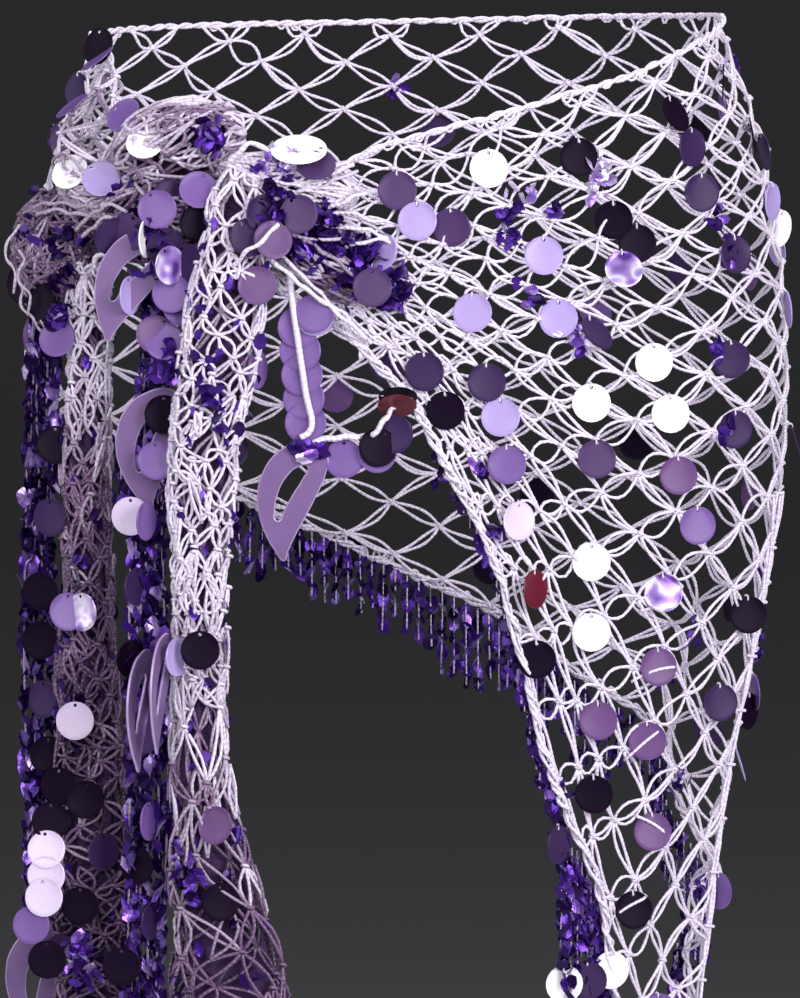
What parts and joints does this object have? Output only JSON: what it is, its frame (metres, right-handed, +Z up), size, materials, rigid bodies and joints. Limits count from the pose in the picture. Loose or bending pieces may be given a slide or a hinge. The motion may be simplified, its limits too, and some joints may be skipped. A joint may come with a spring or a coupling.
{
  "type": "belly dance hip scarf",
  "caption": "Triangular net scarf worn round the hips and knotted at the right hip, with round sequins, sequin fringe and crescent leaf pendants; a hollow worn form with open top and bottom.",
  "frame": {"origin": "the middle of the ring of the hips, level with the top edge at the left hip", "axes": "+Z up, -Y the wearer's front, +X the wearer's left"},
  "size_m": [0.3722, 0.2814, 0.6019],
  "materials": {
    "yarn": "smooth twisted yarn with a soft shine",
    "sequin": "thin glossy violet plastic with a metallic shine",
    "pendant": "smooth lilac plastic, evenly glossy"
  },
  "bodies": {
    "root": {"net_front_drape": "yarn", "net_left_side": "yarn", "net_back": "yarn", "net_right_hip": "yarn", "border_top_front": "yarn", "border_top_back": "yarn", "border_front_edge": "yarn", "border_back_edge": "yarn", "knot_core": "yarn", "knot_top_loop": "yarn", "knot_wrap": "yarn", "knot_drape_mouth": "yarn", "knot_hip_gather": "yarn", "knot_side_lump": "yarn", "tail_centre": "yarn", "tail_side": "yarn", "fringe_front_edge": "sequin", "fringe_back_edge": "sequin", "fringe_between_tails": "sequin", "fringe_beside_tail": "sequin", "strand_scalloped": "sequin", "strand_link": "sequin", "pendant_strand": "pendant", "pendant_knot": "pendant", "pendant_behind_tail": "pendant", "pendant_side_foot": "pendant", "pendant_edge_upper": "pendant", "pendant_edge_lower": "pendant"}
  },
  "joints": []
}
